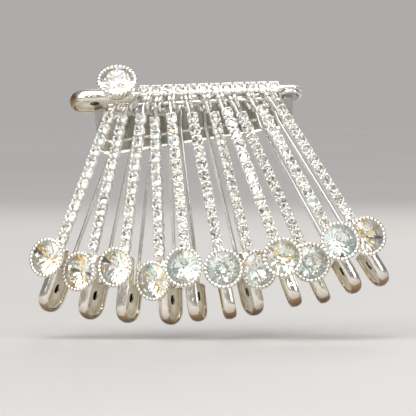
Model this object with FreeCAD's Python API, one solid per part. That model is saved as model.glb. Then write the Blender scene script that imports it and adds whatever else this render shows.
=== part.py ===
import FreeCAD, Part
import math
import os
from FreeCAD import Matrix, Vector

# Rhinestone hair clip: eleven crystal safety pins hang by their coils from the needle of a twelfth,
# the carrier pin, which two posts hold in front of a French barrette.
# World frame, mm: X along the clip, Y away from the viewer towards the hair, Z up.
# The origin is the middle of the space in which the barrette grips the hair.

# Safety pin, in its own frame: u runs from coil to cap, v is the way its crystals face, w is the coil axis.
WIRE_D = 1.2
WIRE_R = WIRE_D / 2
COIL_R = 2.8                # coil centre to wire centre
TURN_W = 0.66               # each coil turn lies this far from the middle plane
LEAD_U = 3.0                # both arms leave the coil straight for this far,
BEND_U = 8.0                # and have come back to the middle plane here
ARM_V = 3.5                 # fixed arm to pin axis, at the cap
NEEDLE_V = 3.3              # needle to pin axis, at the cap
NEEDLE_END_U = 60.0
NEEDLE_TAPER = 7.0
CAP_END_U = 64.8
CAP_ARM_MOUTH_U = 45.5
CAP_NEEDLE_MOUTH_U = 53.5
CAP_R = 4.9                 # half the cap's width, and its end radius
CAP_W = 3.6
CAP_WALL = 0.45
SLOT_W = 1.56               # the needle leaves the cap through this slot
ARM_END_U = 61.0

# Crystals on a pin.
CUP_COUNT = 12
CUP_PITCH = 3.45
CUP_SIDE = 3.3
CUP_H = 1.75
FIRST_CUP_U = 4.8
STRIP_T = 0.35
SMALL_R = 1.4
CARRIER_CROWN_U = 50.5
CARRIER_CROWN_TURN = 14.0   # degrees, its setting leans up from the cap on a short stem
STEM_R = 1.6
STEM_H = 0.95
CROWN_BASE_V = 5.0
CROWN_BASE_R = 3.7
CROWN_RIM_R = 5.95
CROWN_H = 5.0
BIG_R = 5.2
FIT_GAP = 0.05

# Carrier pin, and the line of its needle, on which the hanging pins turn.
CARRIER_TILT = 2.3          # degrees, its cap end lower
CARRIER_FACE = 28.0         # degrees, its crystals look up from straight ahead
NEEDLE_START = Vector(29.0, -12.0, 6.5)

# Hanging pins, left to right: place along X; lean, twist and lift in degrees; slack below the needle;
# and where the big crystal is set along the pin.
HANGING = {
    "a": (-20.3, -20.3, -34.0, 0.0, 0.0, 49.5),
    "b": (-16.6, -12.4, -36.0, 0.0, 0.0, 51.2),
    "c": (-12.0, -6.3, -31.0, 3.5, 0.0, 49.0),
    "d": (-8.6, 2.3, -30.5, 0.0, 0.5, 51.2),
    "e": (-5.0, 6.4, -17.0, 6.5, 0.0, 49.0),
    "f": (-1.0, 11.2, 4.0, 4.0, 0.2, 50.0),
    "g": (3.6, 13.6, 26.0, -2.0, 0.2, 51.0),
    "h": (8.7, 20.1, 3.0, 10.5, 0.0, 51.0),
    "i": (12.2, 24.7, 5.0, 0.0, 0.8, 51.6),
    "j": (17.2, 28.8, 14.0, 8.5, 0.2, 50.0),
    "k": (22.5, 32.0, 20.0, -1.0, 0.0, 49.2),
}

# Barrette, in its own frame: x along it, y towards the hair, z across it.
CLIP_TILT = 8.8             # degrees, its right end higher
CLIP_L = 57.0
CLIP_H = 14.0
CORNER_R = 3.4
GRIP_FRONT = -4.2           # back of the base at mid length
ARCH_R = 123.0              # radius of the back of the base
BASE_T = 0.8
PLATE_T = 0.6
RIM_T = 0.45
RIM_W = 0.9
BAND_T = 0.45
BASE_W = 8.0
ARM_FRONT_Y = 3.2
ARM_T = 0.8
ARM_W = 6.0
HINGE = (-25.2, 3.6)        # clasp arm's hinge, x and y
HINGE_R = 0.6
CATCH_X = 23.6
PRONG_T = 0.5
PRONG_Z = 0.85
BOW_HALF = 19.5
STRAP_HALF = 1.2            # the two posts are flat straps, twice this wide
STRAP_T = 0.8
RIVET_X = 12.0


def ball(centre, radius):
    return Part.makeSphere(radius, centre)


def rod(points, radius):
    """A round wire through points, with round corners."""
    shape = None
    for start, end in zip(points, points[1:]):
        run = end - start
        piece = Part.makeCylinder(radius, run.Length, start, run)
        shape = piece if shape is None else shape.fuse([piece, ball(start, radius)])
    return shape


def turned(profile):
    """A solid of revolution about the v axis at u = 0 from (radius, v) points."""
    points = [Vector(r, v, 0) for r, v in profile]
    face = Part.Face(Part.makePolygon(points + points[:1]))
    return face.revolve(Vector(0, 0, 0), Vector(0, 1, 0), 360)


def one_solid(shape):
    """The single solid of a union, with its split faces joined."""
    return shape.removeSplitter().Solids[0]


# ---- one safety pin ----

def coil_turn(side):
    return Part.makeTorus(COIL_R, WIRE_R, Vector(0, 0, side * TURN_W), Vector(0, 0, 1))


def arm_v(u):
    """Height of the fixed arm's axis."""
    return COIL_R + (ARM_V - COIL_R) * min(u / CAP_ARM_MOUTH_U, 1)


def pin_wire():
    path = [Vector(0, COIL_R, TURN_W), Vector(LEAD_U, arm_v(LEAD_U), TURN_W),
            Vector(BEND_U, arm_v(BEND_U), 0),
            Vector(CAP_ARM_MOUTH_U, ARM_V, 0), Vector(ARM_END_U, ARM_V, 0)]
    return one_solid(rod(path, WIRE_R).fuse([coil_turn(1), ball(path[-1], WIRE_R)]))


def needle_v(u):
    return -COIL_R - (NEEDLE_V - COIL_R) * min(u / CAP_NEEDLE_MOUTH_U, 1)


def pin_needle():
    taper_u = NEEDLE_END_U - NEEDLE_TAPER
    path = [Vector(0, -COIL_R, -TURN_W), Vector(LEAD_U, needle_v(LEAD_U), -TURN_W),
            Vector(BEND_U, needle_v(BEND_U), 0),
            Vector(taper_u, needle_v(taper_u), 0)]
    run = Vector(NEEDLE_TAPER, 0, 0)
    point = Part.makeCone(WIRE_R, 0.12, NEEDLE_TAPER, path[-1], run)
    return one_solid(rod(path, WIRE_R).fuse([coil_turn(-1), point, ball(path[-1], WIRE_R)]))


def cap_block(inset):
    """The cap's outline, inset by a wall thickness, as a rounded block; an inset one runs out of the mouth."""
    half = CAP_R - inset
    centre_u = CAP_END_U - CAP_R
    out = 1.0 if inset else 0.0
    corners = [Vector(CAP_ARM_MOUTH_U - out, half, 0), Vector(centre_u, half, 0),
               Vector(centre_u, -half, 0), Vector(CAP_NEEDLE_MOUTH_U - out, -half, 0),
               Vector(CAP_NEEDLE_MOUTH_U - out, 0.9 - inset, 0),
               Vector(CAP_ARM_MOUTH_U - out, 2.3 - inset, 0)]
    end = Part.Arc(corners[1], Vector(centre_u + half, 0, 0), corners[2]).toShape()
    sides = [Part.makeLine(a, b) for a, b in zip(corners[2:], corners[3:] + corners[:1])]
    outline = Part.Wire([Part.makeLine(corners[0], corners[1]), end] + sides)
    thick = CAP_W - 2 * inset
    block = Part.Face(outline).extrude(Vector(0, 0, thick))
    block.translate(Vector(0, 0, -thick / 2))
    rounded = [e for e in block.Edges
               if abs(abs(e.CenterOfMass.z) - thick / 2) < 1e-6 and abs(e.CenterOfMass.y) > half - 0.01
               or e.Curve.TypeId == "Part::GeomCircle"]
    return block.makeFillet(thick * 0.36, rounded)


def pin_cap():
    slot = Part.makeBox(NEEDLE_END_U + 1.2 - CAP_NEEDLE_MOUTH_U + 2, 3, SLOT_W,
                        Vector(CAP_NEEDLE_MOUTH_U - 2, -CAP_R - 1.2, -SLOT_W / 2))
    window = Part.makeCylinder(1.1, CAP_W, Vector(57.5, 0.6, 0), Vector(0, 0, 1))
    return one_solid(cap_block(0).cut([cap_block(CAP_WALL), slot, window]))


def small_crystal():
    return turned([(0, 0.5), (SMALL_R, 1.35), (SMALL_R, 1.55), (0.8, 2.1), (0, 2.1)])


def cup_strip():
    """Twelve square cups on one strip, its underside at v = 0."""
    length = (CUP_COUNT - 1) * CUP_PITCH
    pocket = turned([(0, 0.42), (SMALL_R + FIT_GAP, 1.3), (SMALL_R + FIT_GAP, 3), (0, 3)])
    strip = Part.makeBox(length, STRIP_T, 1.8, Vector(0, 0, -0.9))
    cups = []
    for number in range(CUP_COUNT):
        cup = Part.makeBox(CUP_SIDE, CUP_H, CUP_SIDE, Vector(-CUP_SIDE / 2, 0, -CUP_SIDE / 2))
        cup = cup.cut(pocket)
        cup.translate(Vector(number * CUP_PITCH, 0, 0))
        cups.append(cup)
    return one_solid(strip.fuse(cups))


def crown():
    """The big crystal's flared setting, standing on the cap."""
    rim_v = CROWN_BASE_V + CROWN_H
    inner = BIG_R + FIT_GAP
    profile = [(0, CROWN_BASE_V), (CROWN_BASE_R, CROWN_BASE_V), (CROWN_RIM_R, rim_v - 0.8),
               (CROWN_RIM_R, rim_v), (inner, rim_v), (inner, rim_v - 0.75),
               (0.9, CROWN_BASE_V + 0.8), (0, CROWN_BASE_V + 0.8)]
    return turned(profile)


def big_crystal():
    rim_v = CROWN_BASE_V + CROWN_H
    profile = [(0, CROWN_BASE_V + 1.05), (BIG_R, rim_v - 0.6), (BIG_R, rim_v - 0.2),
               (3.1, rim_v + 1.2), (0, rim_v + 1.2)]
    return turned(profile)


def leaning(piece):
    """A carrier crown piece leaned about the cap's top and raised by its stem."""
    piece.rotate(Vector(0, CROWN_BASE_V, 0), Vector(1, 0, 0), CARRIER_CROWN_TURN)
    piece.translate(Vector(0, STEM_H, 0))
    return piece


def leaning_crown():
    stem = Part.makeCylinder(STEM_R, STEM_H + 0.4, Vector(0, CROWN_BASE_V, 0), Vector(0, 1, 0))
    return one_solid(leaning(crown()).fuse(stem))


def pin_stones(crown_u, top):
    """Cup strip, small crystals, crown setting and big crystal, as separate solids."""
    slope = math.degrees(math.atan2(ARM_V - COIL_R, CAP_ARM_MOUTH_U))
    strip = cup_strip()
    crystals = []
    for number in range(CUP_COUNT):
        crystal = small_crystal()
        crystal.translate(Vector(number * CUP_PITCH, 0, 0))
        crystals.append(crystal)
    chain = [strip] + crystals
    for piece in chain:
        piece.rotate(Vector(0, 0, 0), Vector(0, 0, 1), slope)
        piece.translate(Vector(FIRST_CUP_U, arm_v(FIRST_CUP_U) + WIRE_R + 0.02, 0))
    for piece in top:
        piece.translate(Vector(crown_u, 0, 0))
    return Part.makeCompound(chain + top)


# ---- placing the pins ----

def frame_matrix(u, v, origin):
    w = u.cross(v)
    return Matrix(u.x, v.x, w.x, origin.x, u.y, v.y, w.y, origin.y,
                  u.z, v.z, w.z, origin.z, 0, 0, 0, 1)


def carrier_frame():
    tilt, face = math.radians(CARRIER_TILT), math.radians(CARRIER_FACE)
    u = Vector(-math.cos(tilt), 0, -math.sin(tilt))
    v = Vector(0, -math.cos(face), math.sin(face))
    v = (v - u * u.dot(v)).normalize()
    return u, v, NEEDLE_START + v * COIL_R


def needle_direction():
    """Unit vector along the carrier's needle, from its cap to its coil."""
    u, v, _ = carrier_frame()
    drop = (NEEDLE_V - COIL_R) / CAP_NEEDLE_MOUTH_U
    return (u - v * drop).normalize() * -1


def turned_about(vector, axis, degrees):
    """Rodrigues' rotation of a vector about a unit axis."""
    angle = math.radians(degrees)
    along = axis * axis.dot(vector) * (1 - math.cos(angle))
    return vector * math.cos(angle) + axis.cross(vector) * math.sin(angle) + along


def hanging_frame(x, lean, twist, lift, slack, _crown_u):
    along = needle_direction()
    point = NEEDLE_START + along * ((x - NEEDLE_START.x) / along.x)
    lean, twist = math.radians(lean), math.radians(twist)
    u = Vector(math.sin(lean), 0, -math.cos(lean))
    side = Vector(math.cos(lean), 0, math.sin(lean))
    v = Vector(0, -math.cos(twist), 0) + side * math.sin(twist)
    centre = u * slack
    u, v, centre = (turned_about(vector, along, -lift) for vector in (u, v, centre))
    return u, v, point + centre


# ---- barrette ----

def rounded_prism(x0, x1, z0, z1, radius):
    """A block with rounded corners in x and z that runs right through the clip in y."""
    block = Part.makeBox(x1 - x0, 30, z1 - z0, Vector(x0, -15, z0))
    corners = [e for e in block.Edges if abs(e.Vertexes[0].Y - e.Vertexes[-1].Y) > 1]
    return block.makeFillet(radius, corners)


def arched(front_offset, thick, outline):
    """A curved sheet whose back is front_offset in front of the back of the base."""
    centre = Vector(0, GRIP_FRONT + ARCH_R, -20)
    up = Vector(0, 0, 1)
    inner = ARCH_R + front_offset
    shell = Part.makeCylinder(inner + thick, 40, centre, up).cut(Part.makeCylinder(inner, 40, centre, up))
    return one_solid(shell.common(outline))


def base_y(x):
    """Back of the base at a place along it."""
    return GRIP_FRONT + ARCH_R - math.sqrt(ARCH_R ** 2 - x ** 2)


def rivet_holes(radius, x_list):
    return [Part.makeCylinder(radius, 12, Vector(x, -10, 0), Vector(0, 1, 0)) for x in x_list]


def face_plate():
    half_l, half_h = CLIP_L / 2, CLIP_H / 2
    sheet = arched(BASE_T, PLATE_T, rounded_prism(-half_l, half_l, -half_h, half_h, CORNER_R))
    rim = arched(BASE_T, PLATE_T + RIM_T, rounded_prism(-half_l, half_l, -half_h, half_h, CORNER_R))
    rim = rim.cut(rounded_prism(RIM_W - half_l, half_l - RIM_W, RIM_W - half_h, half_h - RIM_W,
                                CORNER_R - RIM_W))
    return one_solid(sheet.fuse(rim).cut(rivet_holes(1.0, (-RIVET_X, RIVET_X))))


def front_band():
    half_l = CLIP_L / 2 - 2.2
    return arched(BASE_T + PLATE_T, BAND_T, rounded_prism(-half_l, half_l, -3.4, 4.6, 2.0))


def clip_base():
    half = CLIP_L / 2 - 0.6
    base = arched(0, BASE_T, rounded_prism(-half, half, -BASE_W / 2, BASE_W / 2, 1.5))
    ears = []
    for side in (-1, 1):
        ear = Part.makeBox(3.4, HINGE[1] + 1.3 + 1.95, 0.7, Vector(HINGE[0] - 1.7, -1.95, side * 3.6 - 0.35))
        ears.append(ear)
    hole = Part.makeCylinder(HINGE_R + 0.02, 12, Vector(HINGE[0], HINGE[1], -6), Vector(0, 0, 1))
    return one_solid(base.fuse(ears).cut([hole] + rivet_holes(1.0, (-RIVET_X, RIVET_X))))


def clasp_arm():
    knuckle = Part.makeCylinder(1.25, ARM_W, Vector(HINGE[0], HINGE[1], -ARM_W / 2), Vector(0, 0, 1))
    strip = Part.makeBox(52.0, ARM_T, ARM_W, Vector(HINGE[0], ARM_FRONT_Y, -ARM_W / 2))
    bore = Part.makeCylinder(HINGE_R + 0.04, 12, Vector(HINGE[0], HINGE[1], -6), Vector(0, 0, 1))
    window = Part.makeBox(4.2, 4, 3.8, Vector(CATCH_X - 2.1, 2, -1.9))
    tip = rounded_prism(HINGE[0] - 3, HINGE[0] + 52.0, -ARM_W / 2, ARM_W / 2, 1.5)
    return one_solid(strip.fuse(knuckle).cut([bore, window]).common(tip))


def hinge_pin():
    pin = Part.makeCylinder(HINGE_R, 8.4, Vector(HINGE[0], HINGE[1], -4.2), Vector(0, 0, 1))
    heads = [Part.makeCylinder(0.95, 0.4, Vector(HINGE[0], HINGE[1], z), Vector(0, 0, 1))
             for z in (-4.4, 4.0)]
    return one_solid(pin.fuse(heads))


def tension_bow():
    """The flat spring in the grip, resting on the base at its two ends."""
    end_y = base_y(BOW_HALF)
    mid_y = end_y + 0.5
    radius = (BOW_HALF ** 2 + 0.25) / (2 * 0.5)
    centre = Vector(0, mid_y - radius, -20)
    up = Vector(0, 0, 1)
    shell = Part.makeCylinder(radius + 0.4, 40, centre, up).cut(Part.makeCylinder(radius, 40, centre, up))
    return one_solid(shell.common(rounded_prism(-BOW_HALF, BOW_HALF, -2.5, 2.5, 1.2).common(
        Part.makeBox(60, 12, 20, Vector(-30, -6, -10)))))


def catch_block():
    y = base_y(CATCH_X)
    block = Part.makeBox(4.4, 3.0, 5.0, Vector(CATCH_X - 2.2, y - 2.0, -2.5))
    hollow = Part.makeCylinder(ARCH_R, 40, Vector(0, GRIP_FRONT + ARCH_R, -20), Vector(0, 0, 1))
    return one_solid(block.common(hollow))


def catch_prong(side):
    """One spring prong; its nub stands just inside the arm's window."""
    foot_y = base_y(CATCH_X) + 1.15
    tip_y = ARM_FRONT_Y + ARM_T + 0.9
    blade = Part.makeBox(2.6, tip_y - foot_y, PRONG_T, Vector(CATCH_X - 1.3, foot_y, PRONG_Z))
    nub = Part.makeBox(2.6, 0.7, 0.4, Vector(CATCH_X - 1.3, tip_y - 0.7, PRONG_Z + PRONG_T))
    prong = one_solid(blade.fuse(nub))
    return prong if side > 0 else prong.mirror(Vector(0, 0, 0), Vector(0, 0, 1))


def rivets():
    made = []
    for x in (-RIVET_X, RIVET_X):
        back = base_y(x)
        start = back - BASE_T - PLATE_T + 0.2
        head_y = back + 0.22
        shank = Part.makeCylinder(0.96, head_y - start, Vector(x, start, 0), Vector(0, 1, 0))
        head = Part.makeCylinder(1.5, 0.35, Vector(x, head_y, 0), Vector(0, 1, 0))
        made.append(one_solid(shank.fuse(head)))
    return Part.makeCompound(made)


def strap(centre_u, from_v, top_w):
    """A flat strap in the carrier's frame that runs back to the face plate, trimmed to its front."""
    return Part.makeBox(2 * STRAP_HALF, 20 + from_v, STRAP_T,
                        Vector(centre_u - STRAP_HALF, -20, top_w - STRAP_T))


def trimmed_to_plate(shape):
    """Moves a carrier piece to the world and cuts off what would be inside the barrette."""
    moved = shape.copy()
    moved.transformShape(frame_matrix(*carrier_frame()))
    behind = Part.makeCylinder(ARCH_R + BASE_T + PLATE_T, 60,
                               Vector(0, GRIP_FRONT + ARCH_R, -30), Vector(0, 0, 1))
    return one_solid(moved.cut([in_world(behind), in_world(face_plate()), in_world(front_band())]))


def coil_post():
    """The strap under the carrier's coil, with a peg through the coil."""
    low_w = -TURN_W - WIRE_R - 0.02
    peg = Part.makeCylinder(COIL_R - WIRE_R - 0.05, 2 * TURN_W + WIRE_D + 0.4, Vector(0, 0, low_w),
                            Vector(0, 0, 1))
    return trimmed_to_plate(strap(0.6, 0.8, low_w).fuse(peg))


def cap_post():
    """The strap under the carrier's cap."""
    return trimmed_to_plate(strap(56.5, -1.0, -CAP_W / 2 - 0.01))


def in_world(shape):
    """Carries a barrette piece from the barrette's frame to the world's."""
    moved = shape.copy()
    moved.rotate(Vector(0, 0, 0), Vector(0, 1, 0), -CLIP_TILT)
    return moved


# ---- export ----

def save(shape, node):
    shape.exportStep(f"parts/{node}.step")


def main():
    os.makedirs("parts", exist_ok=True)
    pins = {"carrier": (carrier_frame(), CARRIER_CROWN_U)}
    for letter, numbers in HANGING.items():
        pins[f"pin_{letter}"] = (hanging_frame(*numbers), numbers[-1])
    pieces = {"wire": pin_wire(), "needle": pin_needle(), "cap": pin_cap()}
    for pin, ((u, v, origin), crown_u) in pins.items():
        matrix = frame_matrix(u, v, origin)
        leans = pin == "carrier"
        top = [leaning_crown(), leaning(big_crystal())] if leans else [crown(), big_crystal()]
        pieces["stones"] = pin_stones(crown_u, top)
        for piece, shape in pieces.items():
            placed = shape.copy()
            placed.transformShape(matrix)
            save(placed, f"{pin}_{piece}")
    barrette = {
        "face_plate": face_plate(), "front_band": front_band(), "clip_base": clip_base(),
        "clasp_arm": clasp_arm(), "hinge_pin": hinge_pin(), "tension_bow": tension_bow(),
        "catch_block": catch_block(), "catch_prong_upper": catch_prong(1),
        "catch_prong_lower": catch_prong(-1), "rivets": rivets(),
    }
    for node, shape in barrette.items():
        save(in_world(shape), node)
    save(coil_post(), "coil_post")
    save(cap_post(), "cap_post")


main()
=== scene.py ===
import bmesh
import bpy
import math
import random
from mathutils import Matrix, Vector


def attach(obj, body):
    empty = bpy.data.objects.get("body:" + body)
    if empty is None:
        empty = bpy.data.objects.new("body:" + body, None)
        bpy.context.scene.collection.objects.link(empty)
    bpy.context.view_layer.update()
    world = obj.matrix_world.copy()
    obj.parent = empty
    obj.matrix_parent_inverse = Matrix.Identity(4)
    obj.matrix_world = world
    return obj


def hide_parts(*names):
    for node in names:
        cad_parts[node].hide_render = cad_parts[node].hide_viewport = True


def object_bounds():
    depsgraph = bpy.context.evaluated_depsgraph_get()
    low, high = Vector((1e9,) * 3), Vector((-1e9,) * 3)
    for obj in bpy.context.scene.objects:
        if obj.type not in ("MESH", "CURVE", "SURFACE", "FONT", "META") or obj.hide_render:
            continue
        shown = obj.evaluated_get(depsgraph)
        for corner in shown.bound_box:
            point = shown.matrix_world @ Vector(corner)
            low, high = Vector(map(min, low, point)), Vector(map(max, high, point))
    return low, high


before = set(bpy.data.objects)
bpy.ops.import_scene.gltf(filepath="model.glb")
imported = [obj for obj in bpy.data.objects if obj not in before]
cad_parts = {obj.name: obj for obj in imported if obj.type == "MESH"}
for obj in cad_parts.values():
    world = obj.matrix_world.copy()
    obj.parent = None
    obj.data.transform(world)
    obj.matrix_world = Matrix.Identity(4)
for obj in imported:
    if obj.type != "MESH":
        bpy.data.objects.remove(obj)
cad_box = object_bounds()

MM = 0.001

# Safety pin, in its own frame, mm: u from coil to cap, v the way its crystals face, w the coil axis.
WIRE_R = 0.6
WIRE_SIDES = 18
POINT_R = 0.1
COIL_R = 2.8
TURN_W = 0.66
LEAD_U = 3.0
BEND_U = 8.0
ARM_V = 3.5
NEEDLE_V = 3.3
ARM_MOUTH_U = 45.5
NEEDLE_MOUTH_U = 53.5
ARM_END_U = 61.0
NEEDLE_END_U = 60.0
NEEDLE_TAPER = 7.0
CAP_END_U = 64.8
CAP_R = 4.9
CAP_W = 3.6
CAP_WALL = 0.4
# Where the cap's end starts fading to its painted warm reflection, in u.
CAP_WARM_REFLECTION_U = 61.0
SLOT_END_U = 61.2
WINDOW_U = 57.4
WINDOW_V = 0.4
WINDOW_HALF_U = 1.4
WINDOW_HALF_V = 1.05
CUP_COUNT = 12
CUP_PITCH = 3.45
CUP_HALF = 1.63
CUP_H = 1.75
STRIP_HALF = 0.8
STRIP_T = 0.35
FIRST_CUP_U = 4.8
SMALL_R = 1.4
CARRIER_CROWN_U = 50.5
CARRIER_CROWN_TURN = 14.0
STEM_R = 1.6
STEM_H = 0.95
CROWN_BASE_V = 5.0
CROWN_FLUTES = 26
BIG_R = 5.2
ROPE_BEADS = 28
ROPE_R = 5.37
ROPE_V = 9.6

# Barrette, mm: the arch, the plate on its base, and the clip's tilt in the front view.
ARCH_R = 123.0
GRIP_FRONT = -4.2
BASE_T = 0.8
PLATE_T = 0.6
RIM_T = 0.45
CLIP_TILT = 8.8

# Carrier pin and its needle's line; hanging pins: x, lean, twist, lift, slack, crown place.
CARRIER_TILT = 2.3
CARRIER_FACE = 28.0
NEEDLE_START = Vector((29.0, -12.0, 6.5))
HANGING = {
    "a": (-20.3, -20.3, -34.0, 0.0, 0.0, 49.5),
    "b": (-16.6, -12.4, -36.0, 0.0, 0.0, 51.2),
    "c": (-12.0, -6.3, -31.0, 3.5, 0.0, 49.0),
    "d": (-8.6, 2.3, -30.5, 0.0, 0.5, 51.2),
    "e": (-5.0, 6.4, -17.0, 6.5, 0.0, 49.0),
    "f": (-1.0, 11.2, 4.0, 4.0, 0.2, 50.0),
    "g": (3.6, 13.6, 26.0, -2.0, 0.2, 51.0),
    "h": (8.7, 20.1, 3.0, 10.5, 0.0, 51.0),
    "i": (12.2, 24.7, 5.0, 0.0, 0.8, 51.6),
    "j": (17.2, 28.8, 14.0, 8.5, 0.2, 50.0),
    "k": (22.5, 32.0, 20.0, -1.0, 0.0, 49.2),
}


# ---- places ----

def carrier_frame():
    """The carrier pin's u and v axes and its coil's centre."""
    tilt, face = math.radians(CARRIER_TILT), math.radians(CARRIER_FACE)
    u = Vector((-math.cos(tilt), 0, -math.sin(tilt)))
    v = Vector((0, -math.cos(face), math.sin(face)))
    v = (v - u * u.dot(v)).normalized()
    return u, v, NEEDLE_START + v * COIL_R


def hanging_frame(x, lean, twist, lift, slack, _crown_u):
    """A hanging pin's u and v axes and its coil's centre, with the coil threaded on the carrier's needle."""
    carrier_u, carrier_v, _ = carrier_frame()
    along = -(carrier_u - carrier_v * ((NEEDLE_V - COIL_R) / NEEDLE_MOUTH_U)).normalized()
    point = NEEDLE_START + along * ((x - NEEDLE_START.x) / along.x)
    lean, twist = math.radians(lean), math.radians(twist)
    u = Vector((math.sin(lean), 0, -math.cos(lean)))
    side = Vector((math.cos(lean), 0, math.sin(lean)))
    v = Vector((0, -math.cos(twist), 0)) + side * math.sin(twist)
    turn = Matrix.Rotation(math.radians(-lift), 3, along)
    return turn @ u, turn @ v, point + turn @ (u * slack)


def frame_matrix(u, v, origin):
    """From a pin's own frame to the world, in metres."""
    w = u.cross(v)
    return Matrix(((u.x, v.x, w.x, origin.x * MM), (u.y, v.y, w.y, origin.y * MM),
                   (u.z, v.z, w.z, origin.z * MM), (0, 0, 0, 1)))


# ---- mesh helpers; every point list is in mm ----

class Builder:
    """Collects points, faces, material numbers and painted light tints (painted shade and reflection) for
    one mesh.
    """

    def __init__(self):
        self.points, self.faces, self.kinds, self.smooth, self.tints = [], [], [], [], []

    def add_points(self, points):
        first = len(self.points)
        self.points.extend(Vector(p) for p in points)
        return list(range(first, first + len(points)))

    def face(self, indices, kind=0, smooth=True, tint=(1, 1, 1)):
        self.faces.append(tuple(indices))
        self.kinds.append(kind)
        self.smooth.append(smooth)
        self.tints.append(tint)

    def bridge(self, low, high, smooth=True, tint=(1, 1, 1)):
        """Quads between two rings of the same length."""
        count = len(low)
        for i in range(count):
            j = (i + 1) % count
            self.face((low[i], low[j], high[j], high[i]), smooth=smooth, tint=tint)

    def tube(self, path, radii, sides, closed=False):
        """A round wire along a path: a loop where it is closed, flat-ended where it is open."""
        path = [Vector(p) for p in path]
        count = len(path)
        tangents = []
        for i in range(count):
            before = path[i - 1] if closed or i else path[i]
            after = path[(i + 1) % count] if closed or i < count - 1 else path[i]
            tangents.append((after - before).normalized())
        normal = tangents[0].orthogonal().normalized()
        rings = []
        for point, tangent, radius in zip(path, tangents, radii):
            normal = (normal - tangent * normal.dot(tangent)).normalized()
            other = tangent.cross(normal)
            ring = []
            for k in range(sides):
                a = 2 * math.pi * k / sides
                ring.append(point + (normal * math.cos(a) + other * math.sin(a)) * radius)
            rings.append(self.add_points(ring))
        for low, high in zip(rings, rings[1:]):
            self.bridge(low, high)
        if closed:
            self.bridge(rings[-1], rings[0])
        else:
            self.face(reversed(rings[0]))
            self.face(rings[-1])

    def lathe(self, profile, sides, radius_at=None):
        """Rings about the v axis from (radius, v) points; a radius of 0 closes the end."""
        rings = []
        for number, (radius, v) in enumerate(profile):
            ring = []
            for k in range(1 if radius == 0 else sides):
                a = 2 * math.pi * k / sides
                r = radius_at(number, a, radius) if radius_at else radius
                ring.append((r * math.cos(a), v, r * math.sin(a)))
            rings.append(self.add_points(ring))
        for low, high in zip(rings, rings[1:]):
            if len(low) == 1:
                for i in range(sides):
                    self.face((low[0], high[(i + 1) % sides], high[i]))
            elif len(high) == 1:
                for i in range(sides):
                    self.face((low[i], low[(i + 1) % sides], high[0]))
            else:
                self.bridge(low, high)

    def object(self, name, materials, matrix, body, nodes, slot_name):
        mesh = bpy.data.meshes.new(name)
        mesh.from_pydata([tuple(p * MM) for p in self.points], [], self.faces)
        for material in materials:
            mesh.materials.append(material)
        mesh.polygons.foreach_set("material_index", self.kinds)
        mesh.polygons.foreach_set("use_smooth", self.smooth)
        # Per-face painted light: shade and reflection colours, white where nothing is painted.
        tint = mesh.color_attributes.new("painted_light_tint", "FLOAT_COLOR", "CORNER")
        values = []
        for polygon, rgb in zip(mesh.polygons, self.tints):
            values.extend([*rgb, 1.0] * polygon.loop_total)
        tint.data.foreach_set("color", values)
        work = bmesh.new()
        work.from_mesh(mesh)
        bmesh.ops.recalc_face_normals(work, faces=work.faces)
        work.to_mesh(mesh)
        work.free()
        place_piece(name, mesh, matrix, body, nodes)


def linked(name, data):
    """A new object, in the scene."""
    made = bpy.data.objects.new(name, data)
    bpy.context.scene.collection.objects.link(made)
    return made


def place_piece(name, mesh, matrix, body, nodes):
    """Puts a mesh in the scene, on its body and in place of its CAD nodes."""
    mesh.name = name
    made = linked(name, mesh)
    made.matrix_world = matrix
    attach(made, body)
    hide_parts(*nodes)


def smooth_step(t):
    """Eases from 0 to 1."""
    t = min(max(t, 0.0), 1.0)
    return t * t * (3 - 2 * t)


# ---- materials ----

# A colour mix node's sockets: several share one name, so they go by number.
MIX_FACTOR, MIX_FIRST, MIX_SECOND, MIX_RESULT = 0, 6, 7, 2


def principled(name, color, metallic, roughness):
    """A new material with its node tree and its shader."""
    material = bpy.data.materials.new(name)
    material.use_nodes = True
    shader = material.node_tree.nodes["Principled BSDF"]
    shader.inputs["Base Color"].default_value = (*color, 1)
    shader.inputs["Metallic"].default_value = metallic
    shader.inputs["Roughness"].default_value = roughness
    return material, material.node_tree, shader


def node(tree, kind, **inputs):
    """A new node with its input values, given by name with _ for a space."""
    made = tree.nodes.new(kind)
    for key, value in inputs.items():
        made.inputs[key.replace("_", " ")].default_value = value
    return made


def color_mix(tree, blend, first, second, factor=None):
    """One colour output mixed with another; a plain colour or factor is set on its socket."""
    mix = node(tree, "ShaderNodeMix")
    mix.data_type = "RGBA"
    mix.blend_type = blend
    mix.inputs[MIX_FACTOR].default_value = 1.0
    for socket, value in ((MIX_FACTOR, factor), (MIX_FIRST, first), (MIX_SECOND, second)):
        if isinstance(value, tuple):
            mix.inputs[socket].default_value = (*value, 1)
        elif value is not None:
            tree.links.new(value, mix.inputs[socket])
    return mix.outputs[MIX_RESULT]


def ramp(tree, stops):
    """A colour ramp from (place, colour) stops."""
    made = tree.nodes.new("ShaderNodeValToRGB")
    elements = made.color_ramp.elements
    while len(elements) < len(stops):
        elements.new(0.5)
    for element, (place, color) in zip(elements, stops):
        element.position = place
        element.color = (*color, 1)
    return made


def tinted(tree, color):
    """A colour output times the mesh's per-facet painted light tint."""
    own = node(tree, "ShaderNodeVertexColor")
    own.layer_name = "painted_light_tint"
    return color_mix(tree, "MULTIPLY", color, own.outputs["Color"])


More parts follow.
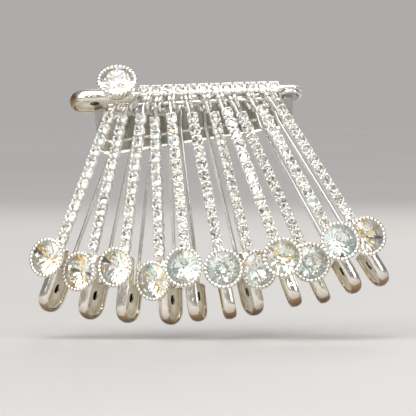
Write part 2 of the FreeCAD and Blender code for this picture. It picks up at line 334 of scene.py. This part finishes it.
def metal(name, light, dark, rough, scale, bump=0.02, stretch=(1, 1, 1), metallic=1.0, warm_reflection_end=None,
          tints=False):
    """Plated metal: cloudy tone, uneven polish and a fine bump; the optional warm end is a painted warm
    reflection given as (from u, to u, colour) in mm.
    """
    material, tree, shader = principled(name, light, metallic, rough[0])
    place = node(tree, "ShaderNodeTexCoord")
    mapping = node(tree, "ShaderNodeMapping", Scale=stretch)
    cloud = node(tree, "ShaderNodeTexNoise", Scale=scale, Detail=5.0, Roughness=0.6)
    tone = ramp(tree, ((0.3, dark), (0.62, light)))
    polish = node(tree, "ShaderNodeMapRange", To_Min=rough[0], To_Max=rough[1])
    grain = node(tree, "ShaderNodeBump", Strength=bump, Distance=0.0004)
    link = tree.links.new
    link(place.outputs["Object"], mapping.inputs["Vector"])
    link(mapping.outputs["Vector"], cloud.inputs["Vector"])
    link(cloud.outputs["Fac"], tone.inputs["Fac"])
    link(cloud.outputs["Fac"], polish.inputs["Value"])
    link(cloud.outputs["Fac"], grain.inputs["Height"])
    link(polish.outputs["Result"], shader.inputs["Roughness"])
    link(grain.outputs["Normal"], shader.inputs["Normal"])
    color = tone.outputs["Color"]
    # Painted warm reflection: the colour fades to warm brown towards the cap's end.
    if warm_reflection_end:
        start, stop, warm = warm_reflection_end
        split = node(tree, "ShaderNodeSeparateXYZ")
        fade = node(tree, "ShaderNodeMapRange", From_Min=start * MM, From_Max=stop * MM)
        fade.interpolation_type = "SMOOTHSTEP"
        link(place.outputs["Object"], split.inputs["Vector"])
        link(split.outputs["X"], fade.inputs["Value"])
        color = color_mix(tree, "MIX", color, warm, fade.outputs["Result"])
    if tints:
        color = tinted(tree, color)
    link(color, shader.inputs["Base Color"])
    return material


def crystal_glass():
    """Clear glass with a slightly uneven polish."""
    material, tree, shader = principled("crystal_glass", (1.0, 0.995, 0.98), 0.0, 0.0)
    shader.inputs["Transmission Weight"].default_value = 1.0
    shader.inputs["IOR"].default_value = 1.54
    place = node(tree, "ShaderNodeTexCoord")
    cloud = node(tree, "ShaderNodeTexNoise", Scale=700.0, Detail=3.0)
    polish = node(tree, "ShaderNodeMapRange", To_Min=0.0, To_Max=0.03)
    tree.links.new(place.outputs["Object"], cloud.inputs["Vector"])
    tree.links.new(cloud.outputs["Fac"], polish.inputs["Value"])
    tree.links.new(polish.outputs["Result"], shader.inputs["Roughness"])
    return material


def crystal_foil():
    """The mirror backing: each facet's painted reflection tint, slightly uneven, with a faint painted glow
    that lights the crystal from inside for sparkle.
    """
    material, tree, shader = principled("crystal_foil", (0.95, 0.95, 0.95), 1.0, 0.06)
    place = node(tree, "ShaderNodeTexCoord")
    cloud = node(tree, "ShaderNodeTexNoise", Scale=1400.0, Detail=4.0)
    fade = ramp(tree, ((0.25, (0.91, 0.91, 0.90)), (0.6, (1, 1, 1))))
    tree.links.new(place.outputs["Object"], cloud.inputs["Vector"])
    tree.links.new(cloud.outputs["Fac"], fade.inputs["Fac"])
    color = tinted(tree, fade.outputs["Color"])
    tree.links.new(color, shader.inputs["Base Color"])
    # Painted glow: the foil gives off a little light in its facet's tint, though it is no lamp.
    tree.links.new(color, shader.inputs["Emission Color"])
    shader.inputs["Emission Strength"].default_value = 0.15
    return material


WIRE = metal("plated_wire", (0.93, 0.91, 0.87), (0.78, 0.74, 0.67), (0.10, 0.22), 600)
NEEDLE = metal("plated_needle", (0.90, 0.90, 0.88), (0.72, 0.70, 0.66), (0.09, 0.2), 500,
               stretch=(0.15, 1, 1))
CAP = metal("pressed_cap", (0.95, 0.92, 0.86), (0.84, 0.78, 0.69), (0.07, 0.16), 300, 0.35,
            warm_reflection_end=(CAP_WARM_REFLECTION_U, CAP_END_U + 0.1, (0.50, 0.34, 0.22)), tints=True)
CAP_PANEL = metal("cap_panel", (1.0, 0.98, 0.86), (0.62, 0.54, 0.34), (0.2, 0.42), 420, 1.0,
                  stretch=(0.45, 1, 1), metallic=0.6)
CUP = metal("cup_metal", (0.97, 0.96, 0.94), (0.80, 0.78, 0.75), (0.12, 0.26), 1500, tints=True)
CROWN = metal("crown_metal", (0.97, 0.95, 0.92), (0.80, 0.76, 0.70), (0.12, 0.26), 900, tints=True)
PLATE = metal("plate_metal", (0.90, 0.89, 0.83), (0.74, 0.73, 0.67), (0.16, 0.26), 60, 0.03, tints=True)
PLATE_BAND = metal("band_metal", (0.86, 0.85, 0.79), (0.70, 0.69, 0.63), (0.2, 0.3), 60, 0.03, tints=True)
POST = metal("post_metal", (0.60, 0.59, 0.57), (0.48, 0.47, 0.46), (0.16, 0.26), 60, 0.03)
STEEL = metal("spring_steel", (0.62, 0.61, 0.59), (0.45, 0.44, 0.43), (0.18, 0.34), 700, 0.06,
              stretch=(0.05, 1, 1))
GLASS = crystal_glass()
FOIL = crystal_foil()


# ---- one safety pin ----

def arm_v(u):
    """The fixed arm's height over the coil's centre."""
    return COIL_R + (ARM_V - COIL_R) * min(u / ARM_MOUTH_U, 1)


def needle_v(u):
    """The needle's height, below the coil's centre."""
    return -COIL_R - (NEEDLE_V - COIL_R) * min(u / NEEDLE_MOUTH_U, 1)


def wire_path(side, v_at, end_u, steps):
    """From the coil turn to the far end, easing back to the pin's middle plane; points crowd at the coil."""
    path = []
    for i in range(steps + 1):
        u = end_u * (i / steps) ** 1.4
        w = side * TURN_W * (1 - smooth_step((u - LEAD_U) / (BEND_U - LEAD_U)))
        path.append((u, v_at(u), w))
    return path


def coil_ring(builder, side):
    """One turn of the spring coil."""
    steps = 56
    ring = []
    for k in range(steps):
        a = 2 * math.pi * k / steps
        ring.append((COIL_R * math.cos(a), COIL_R * math.sin(a), side * TURN_W))
    builder.tube(ring, [WIRE_R] * steps, WIRE_SIDES, closed=True)


def arm_wire():
    """The fixed arm with its coil turn."""
    builder = Builder()
    path = wire_path(1, arm_v, ARM_END_U, 26)
    builder.tube(path, [WIRE_R] * len(path), WIRE_SIDES)
    coil_ring(builder, 1)
    return builder


def needle_wire():
    """The sprung needle, tapered to its point, with its coil turn."""
    builder = Builder()
    path = wire_path(-1, needle_v, NEEDLE_END_U, 40)
    radii = []
    for u, _, _ in path:
        left = min((NEEDLE_END_U - u) / NEEDLE_TAPER, 1)
        radii.append(POINT_R + (WIRE_R - POINT_R) * left ** 0.8)
    builder.tube(path, radii, WIRE_SIDES)
    coil_ring(builder, -1)
    return builder


# The cap's wall from its edge to its sunk panel: way in, and height as a share of half its width.
CAP_SECTION = ((0.0, 0.0), (0.05, 0.22), (0.14, 0.44), (0.3, 0.68), (0.5, 0.86), (0.74, 0.97), (0.98, 1.0),
               (1.2, 0.96), (1.36, 0.84), (1.46, 0.68), (1.62, 0.60), (1.95, 0.58))
# The share of that way in that the mouth's edge takes, and the narrow part before the needle's mouth.
MOUTH_DRAW = 0.35
NARROW_DRAW = 0.5


def cap_outline():
    """Points round the cap from the arm's mouth over the end to the needle's mouth, and the mouth's edge."""
    centre_u = CAP_END_U - CAP_R
    top_steps, end_steps, low_steps = 15, 28, 7
    outer = []
    for i in range(top_steps):
        outer.append((ARM_MOUTH_U + (centre_u - ARM_MOUTH_U) * i / top_steps, CAP_R))
    for i in range(end_steps + 1):
        a = math.pi / 2 - math.pi * i / end_steps
        outer.append((centre_u + CAP_R * math.cos(a), CAP_R * math.sin(a)))
    for i in range(1, low_steps + 1):
        outer.append((centre_u + (NEEDLE_MOUTH_U - centre_u) * i / low_steps, -CAP_R))
    mouth = [(NEEDLE_MOUTH_U, -2.4), (NEEDLE_MOUTH_U, 0.2), (NEEDLE_MOUTH_U - 0.4, 0.9),
             (ARM_MOUTH_U + 4.0, 1.6), (ARM_MOUTH_U + 0.5, 2.25), (ARM_MOUTH_U, 2.9)]
    return outer, mouth


def ways_in(outline, outer_count):
    """The way in from each outline point; the mouth's edge is drawn in less than the rest."""
    ways = []
    for i in range(len(outline)):
        before, after = outline[i - 1], outline[(i + 1) % len(outline)]
        run = Vector((after[0] - before[0], after[1] - before[1])).normalized()
        ways.append(Vector((run.y, -run.x)) * (1 if i < outer_count else MOUTH_DRAW))
    return ways


def cap_rings(builder, outline, ways, sign):
    """One side of the cap as rings from its edge to its panel; the far side shares the near side's edge."""
    rings = []
    for inset, height in CAP_SECTION[1:] if sign < 0 else CAP_SECTION:
        ring = []
        for (u, v), way in zip(outline, ways):
            narrow = NARROW_DRAW if u < NEEDLE_MOUTH_U - 0.5 else 1.0
            p = Vector((u, v)) + way * inset * narrow
            ring.append((p.x, p.y, sign * CAP_W / 2 * height))
        rings.append(builder.add_points(ring))
    return rings


def fill_panels(mesh, panel_rings):
    """Closes each side's last ring with a flat panel round a small window."""
    work = bmesh.new()
    work.from_mesh(mesh)
    work.verts.ensure_lookup_table()
    window = []
    steps = 20
    for k in range(steps):
        a = 2 * math.pi * k / steps
        c, s = math.cos(a), math.sin(a)
        window.append((WINDOW_U + WINDOW_HALF_U * math.copysign(abs(c) ** 0.7, c),
                       WINDOW_V + WINDOW_HALF_V * math.copysign(abs(s) ** 0.7, s)))
    for panel_ring in panel_rings:
        level = work.verts[panel_ring[0]].co.z
        hole = [work.verts.new((u, v, level)) for u, v in window]
        edges = [work.edges.new((hole[i - 1], hole[i])) for i in range(len(hole))]
        work.verts.ensure_lookup_table()
        ring = [work.verts[i] for i in panel_ring]
        edges += [work.edges.get((ring[i - 1], ring[i])) for i in range(len(ring))]
        bmesh.ops.triangle_fill(work, use_beauty=True, edges=edges)
    loose = [v for v in work.verts if not v.link_faces]
    bmesh.ops.delete(work, geom=loose, context="VERTS")
    bmesh.ops.recalc_face_normals(work, faces=work.faces)
    work.to_mesh(mesh)
    work.free()


def pressed_cap():
    """A sheet cap: a raised rim about a sunk panel with a window, open at its mouth and needle slot."""
    outer, mouth = cap_outline()
    outline = outer + mouth
    count = len(outline)
    ways = ways_in(outline, len(outer))
    builder = Builder()
    front = cap_rings(builder, outline, ways, 1)
    back = cap_rings(builder, outline, ways, -1)
    slot = {i for i, (u, v) in enumerate(outer) if v < -CAP_R * 0.9 and u < SLOT_END_U}
    gap = {i for i in range(count) if i >= len(outer) - 1 or (i in slot and i + 1 in slot)}

    def strip(low, high, skipped=()):
        for i in range(count):
            j = (i + 1) % count
            if i not in skipped:
                builder.face((low[i], low[j], high[j], high[i]))
    strip(front[0], front[1], gap)
    strip(back[0], front[0], gap)
    for rings in (front[1:], back):
        for low, high in zip(rings, rings[1:]):
            strip(low, high)
    mesh = bpy.data.meshes.new("cap_sheet")
    mesh.from_pydata([tuple(p) for p in builder.points], [], builder.faces)
    fill_panels(mesh, (front[-1], back[-1]))
    return mesh


# Painted shade for the cap's inside and for the groove round its panel, and the groove's reach from the
# middle line.
CAP_INSIDE_SHADE = (0.16, 0.13, 0.10)
CAP_GROOVE_SHADE = (0.60, 0.50, 0.38)
GROOVE_REACH = 3.75


def thickened(mesh):
    """The cap's sheet with its wall thickness, in metres, its panels marked and painted shade on its grooves
    and inside.
    """
    made = linked("cap_work", mesh)
    wall = made.modifiers.new("wall", "SOLIDIFY")
    wall.thickness = CAP_WALL
    wall.offset = -1
    graph = bpy.context.evaluated_depsgraph_get()
    result = bpy.data.meshes.new_from_object(made.evaluated_get(graph))
    bpy.data.objects.remove(made)
    result.transform(Matrix.Scale(MM, 4))
    result.materials.clear()
    result.materials.append(CAP)
    result.materials.append(CAP_PANEL)
    result.polygons.foreach_set("use_smooth", [True] * len(result.polygons))
    result.set_sharp_from_angle(angle=math.radians(50))
    tints = result.color_attributes.new("painted_light_tint", "FLOAT_COLOR", "CORNER")
    values = []
    for polygon in result.polygons:
        middle, facing = polygon.center / MM, polygon.normal.z
        level, outward = abs(middle.z) / (CAP_W / 2), facing * middle.z > 0
        is_panel = level < 0.66 and abs(facing) > 0.5 and outward
        is_groove = level < 0.94 and 0.12 < abs(facing) <= 0.85 and abs(middle.y) < GROOVE_REACH and outward
        is_inside = level < 0.56 and abs(facing) > 0.5 and not outward
        polygon.material_index = 1 if is_panel else 0
        # The inside and the groove round the panel get painted shade.
        rgb = CAP_INSIDE_SHADE if is_inside else CAP_GROOVE_SHADE if is_groove else (1, 1, 1)
        values.extend([*rgb, 1.0] * polygon.loop_total)
    tints.data.foreach_set("color", values)
    return result


def tint(rng, warm, dark):
    """A facet's painted reflection colour: mostly clear white; shares of painted amber flash and painted
    dark reflection as given, the rest aqua and grey flashes.
    """
    kind = rng.random()
    shade = rng.uniform(0.92, 1.0)
    if kind < dark:
        return (0.34 * shade, 0.32 * shade, 0.29 * shade)
    if kind < dark + warm:
        return (shade, 0.84 * shade, 0.56 * shade)
    if kind < 0.36:
        return (0.80 * shade, 0.96 * shade, 0.94 * shade)
    if kind < 0.44:
        return (0.82 * shade, 0.85 * shade, 0.86 * shade)
    return (shade, shade, 0.98 * shade)


def brilliant(builder, rng, shares, girdle_r, table_r, heights, place):
    """A cut crystal: clear crown facets over a mirror-backed pavilion, each facet with a painted reflection
    colour, with shares of amber and dark.
    """
    table_v, star_v, girdle_v, under_v, lower_v, culet_v = heights
    fold = 8

    def ring(radius, v, count, offset=0.0):
        points = []
        for k in range(count):
            a = 2 * math.pi * (k + offset) / count
            points.append(place @ Vector((radius * math.cos(a), v, radius * math.sin(a))))
        return builder.add_points(points)
    table = ring(table_r, table_v, fold)
    star = ring((table_r * 0.92 + girdle_r) / 2, star_v, fold, 0.5)
    girdle = ring(girdle_r, girdle_v, 2 * fold)
    under = ring(girdle_r, under_v, 2 * fold)
    lower = ring(girdle_r * 0.34, lower_v, fold, 0.5)
    culet = ring(0.0, culet_v, 1)[0]

    def facet(indices, kind):
        builder.face(indices, kind, False, tint(rng, *shares))
    facet(table, 0)
    for i in range(fold):
        j = (i + 1) % fold
        g0, g1, g2 = 2 * i, 2 * i + 1, (2 * i + 2) % (2 * fold)
        facet((table[i], table[j], star[i]), 0)
        facet((table[i], star[i], girdle[g0]), 0)
        facet((table[i], girdle[g0], star[i - 1]), 0)
        facet((star[i], girdle[g0], girdle[g1]), 0)
        facet((star[i], girdle[g1], girdle[g2]), 0)
        facet((girdle[g0], girdle[g1], under[g1], under[g0]), 0)
        facet((girdle[g1], girdle[g2], under[g2], under[g1]), 0)
        facet((lower[i], under[g0], under[g1]), 1)
        facet((lower[i], under[g1], under[g2]), 1)
        facet((under[g0], lower[i - 1], culet, lower[i]), 1)


def cup_places(rng):
    """Each cup's place on the pin, not quite in line with its neighbours."""
    slope = math.atan2(ARM_V - COIL_R, ARM_MOUTH_U)
    base = Matrix.Translation((FIRST_CUP_U, arm_v(FIRST_CUP_U) + WIRE_R + 0.02, 0))
    base = base @ Matrix.Rotation(slope, 4, "Z")
    places = []
    for number in range(CUP_COUNT):
        here = Matrix.Translation((number * CUP_PITCH, 0, 0))
        roll = Matrix.Rotation(math.radians(rng.uniform(-2.5, 2.5)), 4, "X")
        turn = Matrix.Rotation(math.radians(rng.uniform(-2.0, 2.0)), 4, "Y")
        places.append(base @ here @ roll @ turn)
    return base, places


def ring_points(reach_at, v):
    """24 points round a cup's axis, each as far out as reach_at says."""
    points = []
    for k in range(24):
        a = 2 * math.pi * (k + 0.5) / 24
        c, s = math.cos(a), math.sin(a)
        reach = reach_at(abs(c), abs(s))
        points.append((reach * c, v, reach * s))
    return points


def square_ring(half, v):
    """A square with cut corners."""
    return ring_points(lambda c, s: half / max(c, s, (c + s) * 0.62), v)


def round_ring(radius, v):
    """A circle with as many points as the square."""
    return ring_points(lambda c, s: radius, v)


def cup_chain(base, places):
    """The strip under the cups, and each cup with its four claws."""
    builder = Builder()
    length = (CUP_COUNT - 1) * CUP_PITCH
    corners = ((0, -STRIP_HALF), (length, -STRIP_HALF), (length, STRIP_HALF), (0, STRIP_HALF))
    low, high = [builder.add_points([base @ Vector((u, v, w)) for u, w in corners]) for v in (0, STRIP_T)]
    builder.face(low, smooth=False)
    builder.face(high, smooth=False)
    builder.bridge(low, high, smooth=False)
    outside = [square_ring(CUP_HALF - drawn_in, v) for drawn_in, v in
               ((0.3, 0.03), (0.08, 0.22), (0, 0.6), (0, CUP_H - 0.22), (0.1, CUP_H - 0.04))]
    inside = [round_ring(radius, v) for radius, v in
              ((SMALL_R + 0.07, CUP_H - 0.06), (SMALL_R + 0.02, 1.1), (0.6, 0.45))]
    for place in places:
        rings = [builder.add_points([place @ Vector(p) for p in points]) for points in outside + inside]
        for below, above in zip(rings, rings[1:]):
            builder.bridge(below, above)
        builder.face(rings[0])
        builder.face(rings[-1])
        for x in (-1, 1):
            for z in (-1, 1):
                claw(builder, place, x, z)
    return builder


def claw(builder, place, x, z):
    """A corner prong, bent in over the crystal."""
    path = [(x * 1.36, 0.9, z * 1.36), (x * 1.34, 1.4, z * 1.34), (x * 1.26, 1.72, z * 1.26),
            (x * 1.06, 1.93, z * 1.06), (x * 0.86, 1.95, z * 0.86)]
    builder.tube([place @ Vector(p) for p in path], (0.24, 0.3, 0.33, 0.28, 0.16), 8)


def chain_crystals(rng, places):
    """The small crystals, each turned its own way."""
    builder = Builder()
    for place in places:
        turn = place @ Matrix.Rotation(rng.uniform(0, math.pi / 4), 4, "Y")
        brilliant(builder, rng, (0.06, 0.25), SMALL_R, 0.82, (2.1, 1.86, 1.58, 1.45, 0.85, 0.5), turn)
    return builder


def crown_setting():
    """A fluted, flared cup under a roped rim, open inside."""
    builder = Builder()
    foot, rim = CROWN_BASE_V, BIG_R + 0.06
    stations = ((0, foot, 0), (3.5, foot, 0), (3.72, foot + 0.12, 0.12), (4.5, 6.7, 0.2), (5.1, 8.1, 0.2),
                (5.5, 9.1, 0.16), (5.5, 9.45, 0), (rim, 9.75, 0), (rim - 0.02, 9.3, 0), (3.2, 7.7, 0),
                (0.9, foot + 0.85, 0), (0, foot + 0.8, 0))

    def fluted(number, a, radius):
        return radius - stations[number][2] * (0.5 + 0.5 * math.cos(CROWN_FLUTES * a))
    builder.lathe([(radius, v) for radius, v, _ in stations], CROWN_FLUTES * 8, fluted)
    rope_rim(builder)
    return builder


def rope_rim(builder):
    """A ring of slanted beads, with painted shade darkening the grooves between them."""
    around, sides = 10, 12
    total = ROPE_BEADS * around
    rings, grooves = [], []
    for i in range(total):
        a = 2 * math.pi * i / total
        ring, groove = [], []
        for k in range(sides):
            b = 2 * math.pi * k / sides
            lobe = abs(math.cos((ROPE_BEADS * a + 1.5 * math.sin(b)) / 2)) ** 0.7
            swell = 0.30 + 0.31 * lobe
            radius = ROPE_R + swell * math.cos(b)
            ring.append((radius * math.cos(a), ROPE_V + swell * math.sin(b), radius * math.sin(a)))
            # Painted shade: darker where the beads meet.
            groove.append(min(1.0, 0.22 + 0.95 * lobe))
        rings.append(builder.add_points(ring))
        grooves.append(groove)
    for i in range(total):
        for k in range(sides):
            j = (k + 1) % sides
            shade = (grooves[i - 1][k] + grooves[i][k]) / 2
            builder.face((rings[i - 1][k], rings[i - 1][j], rings[i][j], rings[i][k]),
                         tint=(shade, shade * 0.97, shade * 0.93))


def crown_lean():
    """The carrier's crown leans up from the cap's top, on its stem."""
    foot = Matrix.Translation((0, CROWN_BASE_V * MM, 0))
    raised = Matrix.Translation((0, STEM_H * MM, 0))
    return raised @ foot @ Matrix.Rotation(math.radians(CARRIER_CROWN_TURN), 4, "X") @ foot.inverted()


def crown_stem():
    """The carrier's short stem, with a spread foot."""
    builder = Builder()
    low, high = CROWN_BASE_V - STEM_H - 0.05, CROWN_BASE_V + 0.3
    builder.lathe([(0, low), (STEM_R + 0.5, low), (STEM_R, low + 0.45), (STEM_R - 0.1, high), (0, high)], 40)
    return builder


def big_crystal(rng, warm):
    """The big crystal, with its share of facets painted with an amber reflection."""
    builder = Builder()
    turn = Matrix.Rotation(rng.uniform(0, math.pi / 4), 4, "Y")
    brilliant(builder, rng, (warm, 0.05), BIG_R, 2.9, (11.2, 10.65, 9.8, 9.45, 7.0, 6.05), turn)
    return builder


# The share of facets with a painted amber reflection in each big crystal, from the carrier's to pin k's; the
# rest lean to aqua.
AMBER_REFLECTION_SHARE = (0.30, 0.26, 0.28, 0.24, 0.28, 0.10, 0.04, 0.24, 0.16, 0.12, 0.02, 0.29)


def build_pins():
    """The twelve pins: wires, cap and crown have one shape for all, and each pin has its own crystals."""
    arm, needle, crown = arm_wire(), needle_wire(), crown_setting()
    cap = thickened(pressed_cap())
    pins = {"carrier": (carrier_frame(), CARRIER_CROWN_U, "root", "root")}
    for letter, numbers in HANGING.items():
        pin = f"pin_{letter}"
        pins[pin] = (hanging_frame(*numbers), numbers[-1], pin, f"{pin}_needle")
    for number, (pin, (place, crown_u, body, needle_body)) in enumerate(pins.items()):
        rng = random.Random(400 + number)
        matrix = frame_matrix(*place)
        base, places = cup_places(rng)
        stones = (f"{pin}_stones",)
        top = matrix @ Matrix.Translation((crown_u * MM, 0, 0))
        if pin == "carrier":
            top = top @ crown_lean()
            crown_stem().object("carrier_crown_stem", [CROWN], top, body, stones, "crystals")
        arm.object(f"{pin}_arm_wire", [WIRE], matrix, body, (f"{pin}_wire",), "silver_wire")
        needle.object(f"{pin}_sprung_needle", [NEEDLE], matrix, needle_body, (f"{pin}_needle",),
                      "needle_wire")
        place_piece(f"{pin}_pressed_cap", cap.copy(), matrix, body, (f"{pin}_cap",))
        chain, small = cup_chain(base, places), chain_crystals(rng, places)
        big = big_crystal(rng, AMBER_REFLECTION_SHARE[number])
        for name, builder, materials, where in (("cup_chain", chain, [CUP], matrix),
                                                ("chain_crystals", small, [GLASS, FOIL], matrix),
                                                ("crown_setting", crown, [CROWN], top),
                                                ("big_crystal", big, [GLASS, FOIL], top)):
            builder.object(f"{pin}_{name}", materials, where, body, stones, "crystals")


build_pins()


# ---- barrette: the CAD pieces, with softened edges ----

def finish_piece(name, material):
    """Gives a CAD piece its metal and a fine rounded edge."""
    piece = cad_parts[name]
    mesh = piece.data
    mesh.materials.clear()
    mesh.materials.append(material)
    for polygon in mesh.polygons:
        polygon.material_index = 0
        polygon.use_smooth = True
    mesh.set_sharp_from_angle(angle=math.radians(28))
    bevel = piece.modifiers.new("soft_edge", "BEVEL")
    bevel.width = 0.08 * MM
    bevel.segments = 2
    bevel.limit_method = "ANGLE"
    bevel.angle_limit = math.radians(32)
    bevel.use_clamp_overlap = True


# Steps along each rounded corner and each long side of the plate and band.
CORNER_STEPS = 8
SIDE_STEPS = 26


def rounded_outline(x0, x1, z0, z1, radius, inset):
    """A rounded rectangle drawn in by inset, from the top right corner by way of the top left one."""
    radius = max(radius - inset, 0.1)
    x0, x1, z0, z1 = x0 + inset, x1 - inset, z0 + inset, z1 - inset
    points = []
    corners = ((x1 - radius, z1 - radius, 0), (x0 + radius, z1 - radius, 1),
               (x0 + radius, z0 + radius, 2), (x1 - radius, z0 + radius, 3))
    for x, z, quarter in corners:
        for i in range(CORNER_STEPS + 1):
            a = math.pi / 2 * (quarter + i / CORNER_STEPS)
            points.append((x + radius * math.cos(a), z + radius * math.sin(a)))
        if quarter in (0, 2):
            far = x0 + radius if quarter == 0 else x1 - radius
            edge = z1 if quarter == 0 else z0
            points.extend((x + (far - x) * i / SIDE_STEPS, edge) for i in range(1, SIDE_STEPS))
    return points


def arched_sheet(name, bounds, radius, section, material, slot_name):
    """A sheet that follows the barrette's arch; section is (inset, height) from its back, round its edge."""
    # Painted dark reflection: the flat back and front faces are tinted darker than the rounded rim.
    painted_dark_face = (0.56, 0.55, 0.50)
    builder = Builder()
    rings = []
    for inset, height in section:
        ring = []
        for x, z in rounded_outline(*bounds, radius, inset):
            reach = ARCH_R + BASE_T + height
            ring.append((x, GRIP_FRONT + ARCH_R - math.sqrt(reach ** 2 - x ** 2), z))
        rings.append(builder.add_points(ring))
    for low, high in zip(rings, rings[1:]):
        builder.bridge(low, high)
    corner, side = CORNER_STEPS + 1, SIDE_STEPS - 1
    for ring in (rings[0], rings[-1]):
        top_row, rest = ring[corner:corner + side], ring[corner + side:]
        left, bottom_row = rest[:2 * corner], rest[2 * corner:2 * corner + side]
        right = rest[2 * corner + side:] + ring[:corner]
        upper = [right[-1]] + top_row + [left[0]]
        lower = [right[0]] + bottom_row[::-1] + [left[-1]]
        for i in range(len(upper) - 1):
            builder.face((upper[i], upper[i + 1], lower[i + 1], lower[i]), tint=painted_dark_face)
        builder.face(left, tint=painted_dark_face)
        builder.face(right, tint=painted_dark_face)
    turn = Matrix.Rotation(math.radians(-CLIP_TILT), 4, "Y")
    builder.object(f"{name}_sheet", [material], turn, "root", (name,), slot_name)


arched_sheet("face_plate", (-28.5, 28.5, -7.0, 7.0), 3.4,
             ((0.05, 0.0), (0.0, 0.1), (0.0, PLATE_T), (0.06, PLATE_T + 0.25), (0.2, PLATE_T + 0.4),
              (0.45, PLATE_T + RIM_T), (0.68, PLATE_T + 0.38), (0.84, PLATE_T + 0.18),
              (0.96, PLATE_T + 0.02), (1.2, PLATE_T)),
             PLATE, "plate_metal")
arched_sheet("front_band", (-26.3, 26.3, -3.4, 4.6), 2.0,
             ((0.0, PLATE_T + 0.01), (0.0, PLATE_T + 0.28), (0.07, PLATE_T + 0.4), (0.22, PLATE_T + 0.45),
              (0.5, PLATE_T + 0.45), (0.62, PLATE_T + 0.36), (0.8, PLATE_T + 0.34)),
             PLATE_BAND, "band_metal")
for piece_name in ("coil_post", "cap_post"):
    finish_piece(piece_name, POST)
for piece_name in ("clip_base", "clasp_arm", "hinge_pin", "tension_bow", "catch_block",
                   "catch_prong_upper", "catch_prong_lower", "rivets"):
    finish_piece(piece_name, STEEL)


# ---- floor, light and camera ----

def floor():
    """A plain pale floor just under the hanging caps."""
    half = 4.0
    level = cad_box[0].z - 0.004
    mesh = bpy.data.meshes.new("studio_floor")
    corners = [(-half, -half, level), (half, -half, level), (half, half, level), (-half, half, level)]
    mesh.from_pydata(corners, [], [(0, 1, 2, 3)])
    material, tree, shader = principled("floor_paint", (0.46, 0.45, 0.44), 0.0, 0.7)
    cloud = node(tree, "ShaderNodeTexNoise", Scale=5.0, Detail=4.0)
    tone = ramp(tree, ((0.3, (0.45, 0.44, 0.43)), (0.7, (0.47, 0.46, 0.45))))
    place = node(tree, "ShaderNodeTexCoord")
    tree.links.new(place.outputs["Object"], cloud.inputs["Vector"])
    tree.links.new(cloud.outputs["Fac"], tone.inputs["Fac"])
    tree.links.new(tone.outputs["Color"], shader.inputs["Base Color"])
    mesh.materials.append(material)
    linked("studio_floor", mesh)


CLIP_MIDDLE = Vector((0.0, 0.0, -0.025))


def area_light(name, place, size, power, color=(1, 1, 1)):
    """A soft box that faces the middle of the clip."""
    light = bpy.data.lights.new(name, "AREA")
    light.shape = "RECTANGLE"
    light.size, light.size_y = size
    light.energy = power
    light.color = color
    made = linked(name, light)
    made.location = place
    made.rotation_euler = (CLIP_MIDDLE - Vector(place)).to_track_quat("-Z", "Y").to_euler()


def world_light():
    """A soft grey surround: pale at the horizon, darker above it."""
    world = bpy.data.worlds.new("studio")
    bpy.context.scene.world = world
    world.use_nodes = True
    tree = world.node_tree
    background = tree.nodes["Background"]
    background.inputs["Strength"].default_value = 1.0
    place = node(tree, "ShaderNodeTexCoord")
    split = node(tree, "ShaderNodeSeparateXYZ")
    span = node(tree, "ShaderNodeMapRange", From_Min=-0.2, From_Max=1.0)
    tone = ramp(tree, ((0.0, (0.42, 0.41, 0.40)), (0.19, (0.42, 0.41, 0.40)), (0.42, (0.22, 0.21, 0.20)),
                       (0.8, (0.36, 0.36, 0.36))))
    tree.links.new(place.outputs["Generated"], split.inputs["Vector"])
    tree.links.new(split.outputs["Z"], span.inputs["Value"])
    tree.links.new(span.outputs["Result"], tone.inputs["Fac"])
    tree.links.new(tone.outputs["Color"], background.inputs["Color"])


def lamps():
    """Soft boxes on all sides, a broad sky, and small lights that make the crystals sparkle."""
    area_light("key", (-0.75, -0.95, 0.65), (1.0, 0.75), 7.8, (1.0, 0.98, 0.95))
    area_light("fill", (0.9, -0.75, 0.45), (0.4, 0.6), 3.4, (0.94, 0.98, 1.0))
    area_light("top", (0.1, -0.15, 0.85), (0.9, 0.45), 1.6)
    area_light("back", (0.2, 0.9, 0.5), (0.6, 0.45), 2.6, (1.0, 0.97, 0.93))
    sun = bpy.data.lights.new("soft_sky", "SUN")
    sun.energy = 2.2
    sun.angle = math.radians(50)
    linked("soft_sky", sun).rotation_euler = (math.radians(28), math.radians(-12), 0)
    spots = ((-0.3, -1.0, 0.2), (0.35, -0.95, 0.5), (0.05, -1.0, 0.4), (0.6, -0.5, 0.75))
    for number, spot in enumerate(spots):
        area_light(f"sparkle_{number}", spot, (0.07, 0.07), 0.6)


# The camera, in metres and degrees: the width it sees at its aim, its range and how high it looks from.
VIEW_WIDTH = 0.1227
CAMERA_RANGE = 1.2
CAMERA_RISE = 2.0
CAMERA_AIM = Vector((0.0048, -0.010, -0.026))
SENSOR_WIDTH = 36.0


def camera():
    """A long lens from the front, a little above."""
    data = bpy.data.cameras.new("camera")
    data.sensor_width = SENSOR_WIDTH
    data.lens = SENSOR_WIDTH * CAMERA_RANGE / VIEW_WIDTH
    made = linked("camera", data)
    rise = math.radians(CAMERA_RISE)
    back = Vector((0, -math.cos(rise), math.sin(rise)))
    made.location = CAMERA_AIM + back * CAMERA_RANGE
    made.rotation_euler = (-back).to_track_quat("-Z", "Y").to_euler()
    bpy.context.scene.camera = made
    bpy.context.scene.view_settings.view_transform = "Standard"


floor()
world_light()
lamps()
camera()
